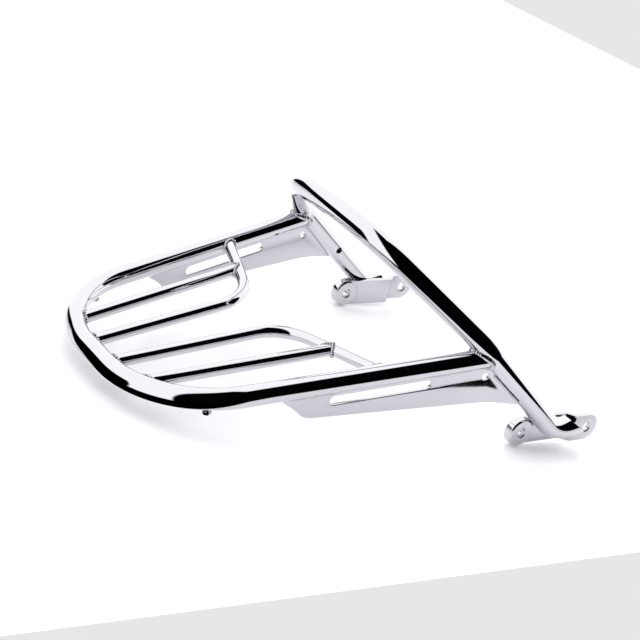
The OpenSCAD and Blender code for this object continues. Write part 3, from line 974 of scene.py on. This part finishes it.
def seams(s, way):
    """Name, lines, leg and closure of each weld on the left side."""
    rim = traced(way.rim, way.rim_radii)
    hoop = traced(way.hoop, way.hoop_radii)
    rail = traced(way.rail, [s.rail_bend_radius])
    around = [math.tau * i / 72 for i in range(72)]
    half_rim, half_bar = s.rim_tube / 2, s.bar / 2
    rail_on = (way.rail[1] - way.rail[0]).normalized()
    rail_back = (way.rail[1] - way.rail[2]).normalized()
    slat_on = (way.slat[1] - way.slat[0]).normalized()
    yield (
        "hoop_joint",
        [cope_line(way.rim[0], way.rim_way, half_rim, hoop, s.hoop_tube / 2, around)],
        s.bead,
        True,
    )
    yield "rail_rear", [cope_line(way.rail[0], rail_on, half_bar, rim, half_rim, around)], s.bar_bead, True
    yield "rail_front", [cope_line(way.rail[2], rail_back, half_bar, rim, half_rim, around)], s.bar_bead, True
    yield "slat_rear", [cope_line(way.slat[0], slat_on, half_bar, rim, half_rim, around)], s.bar_bead, True
    yield "slat_front", [cope_line(way.slat[1], -slat_on, half_bar, rail, half_bar, around)], s.bar_bead, True
    out = Vector((way.rim_way.y, -way.rim_way.x, 0)).normalized()
    face = out * s.plate / 2
    under = Vector((0, 0, -math.sqrt(half_rim**2 - (s.plate / 2) ** 2)))
    yield (
        "plate_rim",
        [
            [way.rim[0] + way.rim_way * a + face + under for a in ends]
            for ends in RIM_SEAMS
        ],
        s.bead * 0.7,
        False,
    )
    leg_line = []
    for i in range(LEG_SEAM_POINTS):
        start = way.rim[0] + face + Vector((0, 0, -LEG_SEAM_TOP - LEG_SEAM_PITCH * i))
        behind = start + way.rim_way * LEG_SEAM_START
        leg_line.append(first_skin(behind, -way.rim_way, hoop, s.hoop_tube / 2))
    yield "plate_hoop", [leg_line], s.bead * 0.7, False
    fall = Matrix.Rotation(s.strap_slope, 3, "Y")
    eye = Vector((0, way.strap_out, 0))
    arc = [
        eye + fall @ Vector((math.cos(a), 0, math.sin(a))) * s.bush / 2
        for a in (math.radians(-84 + 7 * i) for i in range(25))
    ]
    yield "bush", [arc], s.bar_bead * 0.8, False
    seam_z = -s.foot_drop - s.hoop_tube / 2 + FOOT_SEAM_RISE
    yield (
        "foot",
        [[way.at(way.foot_x + a, way.strap_out, seam_z) for a in FOOT_SEAM]],
        s.bead * 0.8,
        False,
    )


def first_skin(start, way, other, other_radius):
    """The first point of another tube's skin on the way from start."""
    for i in range(SKIN_STEPS):
        if distance_to(other, start + way * (SKIN_REACH * i / SKIN_STEPS)) < other_radius:
            return start + way * (SKIN_REACH * (i - 1) / SKIN_STEPS)
    return start


# Studio


class RACK_OT_stage(Operator):
    """Pale floor, bright surround with a dark side, and the camera"""

    bl_idname = "rack.stage"
    bl_label = "Studio"

    def execute(self, context):
        studio = context.scene.rack_studio
        surround(studio)
        lay_floor(studio, context.scene.rack_finish)
        set_camera(studio)
        context.scene.view_settings.view_transform = "Standard"
        context.scene.view_settings.look = "None"
        return {"FINISHED"}


def surround(studio):
    """White surround, dark in part for reflections and plain white for the camera."""
    world = bpy.data.worlds.new("studio")
    bpy.context.scene.world = world
    world.use_nodes = True
    tree = world.node_tree
    tree.nodes.clear()
    add, link = tree.nodes.new, tree.links.new
    place = add("ShaderNodeTexCoord")
    heading = Vector((math.cos(studio.dark_way), math.sin(studio.dark_way), 0))
    dark_half = soft_step(tree, place.outputs["Generated"], heading, 0.0, 0.03)
    before_screen = soft_step(tree, place.outputs["Generated"], Vector((-1, 0, 0)), -studio.screen, 0.012)
    front_dark = joined(tree, "MULTIPLY", dark_half, before_screen)
    near = Vector(studio.near_way).normalized()
    near_dark = soft_step(tree, place.outputs["Generated"], near, math.cos(studio.near_width), 0.02)
    rear = Vector((math.cos(studio.rear_way), math.sin(studio.rear_way), 0))
    rear_part = soft_step(tree, place.outputs["Generated"], rear, math.cos(studio.rear_width), 0.02)
    below = soft_step(tree, place.outputs["Generated"], Vector((0, 0, -1)), -math.sin(studio.rear_top), 0.02)
    rear_dark = joined(tree, "MULTIPLY", rear_part, below)
    sides_dark = joined(tree, "MAXIMUM", front_dark, rear_dark)
    low_dark = soft_step(tree, place.outputs["Generated"], Vector((0, 0, -1)), studio.low_share, 0.03)
    above_dark = joined(tree, "MAXIMUM", sides_dark, near_dark)
    dark = joined(tree, "MAXIMUM", above_dark, low_dark)
    lit = add("ShaderNodeMapRange")
    lit.inputs["To Min"].default_value = studio.overhead
    lit.inputs["To Max"].default_value = 0.0
    link(dark, lit.inputs["Value"])
    seen = add("ShaderNodeBackground")
    link(lit.outputs["Result"], seen.inputs["Strength"])
    plain = add("ShaderNodeBackground")
    plain.inputs["Strength"].default_value = 1.0
    light = add("ShaderNodeBackground")
    light.inputs["Strength"].default_value = studio.fill
    path = add("ShaderNodeLightPath")
    glossy = add("ShaderNodeMixShader")
    link(path.outputs["Is Glossy Ray"], glossy.inputs["Fac"])
    link(light.outputs["Background"], glossy.inputs[1])
    link(seen.outputs["Background"], glossy.inputs[2])
    camera = add("ShaderNodeMixShader")
    link(path.outputs["Is Camera Ray"], camera.inputs["Fac"])
    link(glossy.outputs["Shader"], camera.inputs[1])
    link(plain.outputs["Background"], camera.inputs[2])
    output = add("ShaderNodeOutputWorld")
    link(camera.outputs["Shader"], output.inputs["Surface"])


def joined(tree, operation, first, second):
    """One mask made of two."""
    both = tree.nodes.new("ShaderNodeMath")
    both.operation = operation
    tree.links.new(first, both.inputs[0])
    tree.links.new(second, both.inputs[1])
    return both.outputs["Value"]


def soft_step(tree, place, way, edge, blur):
    """A mask that is one where a direction's share along way is past edge."""
    share_along = tree.nodes.new("ShaderNodeVectorMath")
    share_along.operation = "DOT_PRODUCT"
    share_along.inputs[1].default_value = way
    tree.links.new(place, share_along.inputs[0])
    step = tree.nodes.new("ShaderNodeMapRange")
    step.interpolation_type = "SMOOTHSTEP"
    step.inputs["From Min"].default_value = edge - blur
    step.inputs["From Max"].default_value = edge + blur
    tree.links.new(share_along.outputs["Value"], step.inputs["Value"])
    return step.outputs["Result"]


def lay_floor(studio, look):
    """A pale floor tilted so that the front eyes and the rear bend rest on it."""
    tilt = studio.floor_tilt
    normal = Vector((math.sin(tilt), 0, math.cos(tilt)))
    lowest = min(
        (piece.matrix_world @ vertex.co).dot(normal)
        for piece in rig.pieces()
        for vertex in piece.data.vertices
    )
    deselect()
    bpy.ops.mesh.primitive_plane_add(
        size=1, location=normal * (lowest - 0.0003), rotation=(0, tilt, 0)
    )
    floor = bpy.context.object
    floor.scale = (studio.floor_length, studio.floor_depth, 1)
    floor.location.y = studio.floor_depth / 2 - studio.front_edge
    settle(floor, "floor")
    material = bpy.data.materials.new("floor")
    material.use_nodes = True
    shader = material.node_tree.nodes["Principled BSDF"]
    shader.inputs["Base Color"].default_value = (*look.floor, 1)
    shader.inputs["Roughness"].default_value = 0.22
    shader.inputs["Specular IOR Level"].default_value = 0.35
    hide_rear_from_chrome(material.node_tree, studio)
    floor.data.materials.append(material)
    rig.stage(floor)
    deselect()
    bpy.ops.object.light_add(type="AREA", location=(0.15, 0.45, 1.5), rotation=(math.radians(-17), 0, 0))
    lamp = bpy.context.object
    lamp.data.shape = "RECTANGLE"
    lamp.data.size = 1.6
    lamp.data.size_y = 1.0
    lamp.data.energy = studio.lamp
    lamp.visible_glossy = False


def hide_rear_from_chrome(tree, studio):
    """Reflections see the dark room instead of the floor behind the rear bend."""
    add, link = tree.nodes.new, tree.links.new
    place, path = add("ShaderNodeTexCoord"), add("ShaderNodeLightPath")
    back = Vector((math.cos(studio.floor_back_way), math.sin(studio.floor_back_way), 0))
    behind = soft_step(tree, place.outputs["Object"], back, studio.floor_back, 0.002)
    hidden = joined(tree, "MULTIPLY", behind, path.outputs["Is Glossy Ray"])
    clear, blend = add("ShaderNodeBsdfTransparent"), add("ShaderNodeMixShader")
    link(hidden, blend.inputs["Fac"])
    link(tree.nodes["Principled BSDF"].outputs["BSDF"], blend.inputs[1])
    link(clear.outputs["BSDF"], blend.inputs[2])
    link(blend.outputs["Shader"], tree.nodes["Material Output"].inputs["Surface"])


def set_camera(studio):
    data = bpy.data.cameras.new("camera")
    camera = bpy.data.objects.new("camera", data)
    bpy.context.scene.collection.objects.link(camera)
    camera.location = studio.camera_place
    camera.rotation_euler = studio.camera_turn
    data.lens = studio.lens
    data.sensor_width = 36
    data.clip_start = 0.05
    bpy.context.scene.camera = camera


class RACK_PT_panel(Panel):
    """Lists the steps of the rack"""

    bl_idname = "RACK_PT_panel"
    bl_label = "Luggage Rack"
    bl_space_type = "VIEW_3D"
    bl_region_type = "UI"
    bl_category = "Rack"

    def draw(self, context):
        for step in STEPS:
            self.layout.operator(step.bl_idname)
        for group in ("rack_sizes", "rack_finish", "rack_studio"):
            box = self.layout.box()
            settings = getattr(context.scene, group)
            for name in settings.__annotations__:
                box.prop(settings, name)


GROUPS = {"rack_sizes": RackSizes, "rack_finish": RackFinish, "rack_studio": RackStudio}
STEPS = (RACK_OT_hoop, RACK_OT_rim, RACK_OT_bars, RACK_OT_plates, RACK_OT_welds, RACK_OT_stage)


def register():
    for kind in (*GROUPS.values(), *STEPS, RACK_PT_panel):
        bpy.utils.register_class(kind)
    for name, group in GROUPS.items():
        setattr(bpy.types.Scene, name, PointerProperty(type=group))


def unregister():
    for name in GROUPS:
        delattr(bpy.types.Scene, name)
    for kind in reversed((*GROUPS.values(), *STEPS, RACK_PT_panel)):
        bpy.utils.unregister_class(kind)


def main():
    register()
    bpy.ops.rack.hoop()
    bpy.ops.rack.rim()
    bpy.ops.rack.bars()
    bpy.ops.rack.plates()
    bpy.ops.rack.welds()
    bpy.ops.rack.stage()
    deselect()
    low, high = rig.bounds()
    sizes = {
        "cad": [list(cad_low), list(cad_high)],
        "look": [list(low), list(high)],
    }
    with open("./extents.json", "w") as out:
        json.dump(sizes, out, indent=1)


if __name__ == "__main__":
    main()
